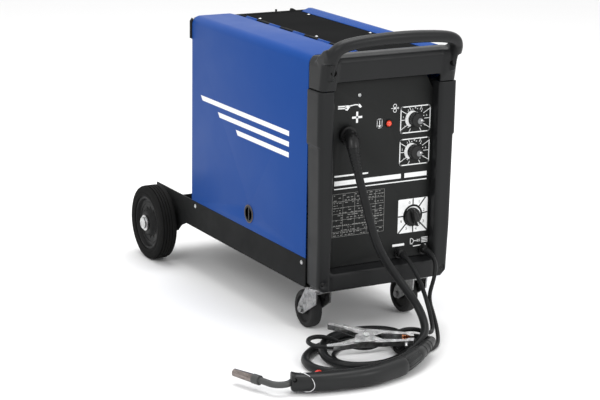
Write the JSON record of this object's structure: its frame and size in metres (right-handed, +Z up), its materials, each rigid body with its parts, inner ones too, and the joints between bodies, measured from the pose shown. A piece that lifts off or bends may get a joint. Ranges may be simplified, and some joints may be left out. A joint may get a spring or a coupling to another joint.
{
  "type": "wire feed welder on cart",
  "caption": "Wire-feed arc welder in a sheet-metal case on a two-wheel cart with swivel casters, grip bar, bottle platform, torch and earth clamp.",
  "frame": {"origin": "centre of the machine's footprint on the floor, leads left out", "axes": "+X to the machine's right seen from behind the fascia's back, +Y from the fascia to the rear wheels, +Z up"},
  "size_m": [0.5999, 1.008, 0.597],
  "materials": {
    "blue_paint": "semi-gloss powder coat, light blue",
    "black_paint": "satin black powder coat",
    "dark_plastic": "fine grained moulded plastic, dark grey",
    "panel_plate": "screen-printed dark grey panel",
    "zinc": "zinc plated",
    "tyre_rubber": "solid rubber tyre",
    "rim_plastic": "black moulded rim",
    "caster_rubber": "black rubber roller",
    "cable_rubber": "black cable sheath",
    "torch_plastic": "dark grey torch grip",
    "trigger_red": "red button",
    "lens_red": "orange-red lens",
    "knob_plastic": "black knob",
    "copper": "bare copper winding",
    "steel_core": "laminated steel",
    "aluminium": "extruded",
    "chrome_nozzle": "nickel plated brass",
    "brass": "turned brass",
    "spool_plastic": "black spool with wire"
  },
  "bodies": {
    "machine": {"base_plate": "black_paint", "cart_rail_left": "black_paint", "cart_rail_right": "black_paint", "bottle_platform": "black_paint", "rear_axle": "zinc", "axle_caps": "zinc", "caster_plates": "zinc", "right_panel": "blue_paint", "top_cover": "black_paint", "hinge_pin": "zinc", "rear_panel": "black_paint", "bottle_bracket": "black_paint", "divider": "zinc", "front_frame": "dark_plastic", "front_panel": "panel_plate", "handle_hood": "dark_plastic", "torch_socket": "knob_plastic", "cable_glands": "knob_plastic", "led_lens": "lens_red", "screws": "zinc", "transformer_core": "steel_core", "transformer_coils": "copper", "rectifier": "aluminium", "fan_motor": "steel_core", "spool_hub": "dark_plastic", "feed_plate": "aluminium", "feed_motor": "steel_core", "gas_inlet": "brass", "torch_handle": "torch_plastic", "torch_neck": "cable_rubber", "torch_nozzle": "chrome_nozzle", "torch_hook": "zinc", "clamp_jaw_lower": "zinc", "clamp_rivet": "zinc", "torch_cable": "cable_rubber", "earth_cable": "cable_rubber", "mains_cable": "cable_rubber", "torch_cable_coil": "cable_rubber", "mains_plug": "knob_plastic"},
    "wheel_left": {"wheel_tyre_left": "tyre_rubber", "wheel_rim_left": "rim_plastic"},
    "wheel_right": {"wheel_tyre_right": "tyre_rubber", "wheel_rim_right": "rim_plastic"},
    "caster_left": {"caster_fork_left": "zinc"},
    "caster_right": {"caster_fork_right": "zinc"},
    "caster_roller_left": {"caster_wheel_left": "caster_rubber"},
    "caster_roller_right": {"caster_wheel_right": "caster_rubber"},
    "door": {"side_door": "blue_paint"},
    "latch": {"door_latch": "dark_plastic"},
    "speed_knob": {"wire_speed_knob": "knob_plastic"},
    "time_knob": {"timer_knob": "knob_plastic"},
    "power_knob": {"range_knob": "knob_plastic"},
    "fan": {"fan_blade": "knob_plastic"},
    "spool": {"wire_spool": "spool_plastic"},
    "drive": {"drive_roll": "zinc"},
    "press_arm": {"pressure_arm": "aluminium"},
    "press_roll": {"pressure_roll": "zinc"},
    "trigger": {"torch_trigger": "trigger_red"},
    "clamp_upper": {"clamp_jaw_upper": "zinc"}
  },
  "joints": [
    {"name": "wheel_left_spin", "type": "hinge", "parent": "machine", "child": "wheel_left", "pos_m": [-0.1785, 0.3153, 0.0807], "axis": [1, 0, 0], "continuous": true},
    {"name": "wheel_right_spin", "type": "hinge", "parent": "machine", "child": "wheel_right", "pos_m": [0.1785, 0.3153, 0.0807], "axis": [1, 0, 0], "continuous": true},
    {"name": "caster_left_swivel", "type": "hinge", "parent": "machine", "child": "caster_left", "pos_m": [-0.11, -0.288, 0.09], "axis": [0, 0, 1], "continuous": true},
    {"name": "caster_right_swivel", "type": "hinge", "parent": "machine", "child": "caster_right", "pos_m": [0.11, -0.288, 0.09], "axis": [0, 0, 1], "continuous": true},
    {"name": "caster_left_roll", "type": "hinge", "parent": "caster_left", "child": "caster_roller_left", "pos_m": [-0.11, -0.25, 0.0375], "axis": [1, 0, 0], "continuous": true},
    {"name": "caster_right_roll", "type": "hinge", "parent": "caster_right", "child": "caster_roller_right", "pos_m": [0.11, -0.25, 0.0375], "axis": [1, 0, 0], "continuous": true},
    {"name": "door_hinge", "type": "hinge", "parent": "machine", "child": "door", "pos_m": [-0.0375, -0.057, 0.5452], "axis": [0, 1, 0], "range_deg": [0, 110]},
    {"name": "latch_turn", "type": "hinge", "parent": "door", "child": "latch", "pos_m": [-0.1493, -0.0717, 0.1888], "axis": [1, 0, 0], "range_deg": [0, 90]},
    {"name": "speed_knob_turn", "type": "hinge", "parent": "machine", "child": "speed_knob", "pos_m": [0.0715, -0.335, 0.4135], "axis": [0, 1, 0], "range_deg": [-150, 150]},
    {"name": "time_knob_turn", "type": "hinge", "parent": "machine", "child": "time_knob", "pos_m": [0.0715, -0.335, 0.35], "axis": [0, 1, 0], "range_deg": [-150, 150]},
    {"name": "power_knob_turn", "type": "hinge", "parent": "machine", "child": "power_knob", "pos_m": [0.072, -0.335, 0.221], "axis": [0, 1, 0], "range_deg": [-104, 208]},
    {"name": "fan_spin", "type": "hinge", "parent": "machine", "child": "fan", "pos_m": [0.075, 0.158, 0.321], "axis": [0, 1, 0], "continuous": true},
    {"name": "spool_spin", "type": "hinge", "parent": "machine", "child": "spool", "pos_m": [-0.097, 0.05, 0.33], "axis": [1, 0, 0], "continuous": true},
    {"name": "drive_spin", "type": "hinge", "parent": "machine", "child": "drive", "pos_m": [-0.0794, -0.165, 0.3819], "axis": [1, 0, 0], "continuous": true},
    {"name": "pressure_arm_lift", "type": "hinge", "parent": "machine", "child": "press_arm", "pos_m": [-0.069, -0.208, 0.424], "axis": [1, 0, 0], "range_deg": [0, 70]},
    {"name": "pressure_roll_spin", "type": "hinge", "parent": "press_arm", "child": "press_roll", "pos_m": [-0.0794, -0.165, 0.4089], "axis": [1, 0, 0], "continuous": true},
    {"name": "trigger_press", "type": "slide", "parent": "machine", "child": "trigger", "axis": [0, -1, 0], "range_m": [0, 0.004], "stiffness_N_per_m": 200},
    {"name": "clamp_open", "type": "hinge", "parent": "machine", "child": "clamp_upper", "pos_m": [-0.1227, -0.4888, 0.05], "axis": [-0.2171, -0.3571, 0.9085], "range_deg": [0, 18], "stiffness_Nm_per_rad": 1, "springref_deg": -11.46}
  ],
  "couplings": [
    {"joint": "pressure_roll_spin", "follows": "drive_spin", "ratio": -1.3636}
  ]
}
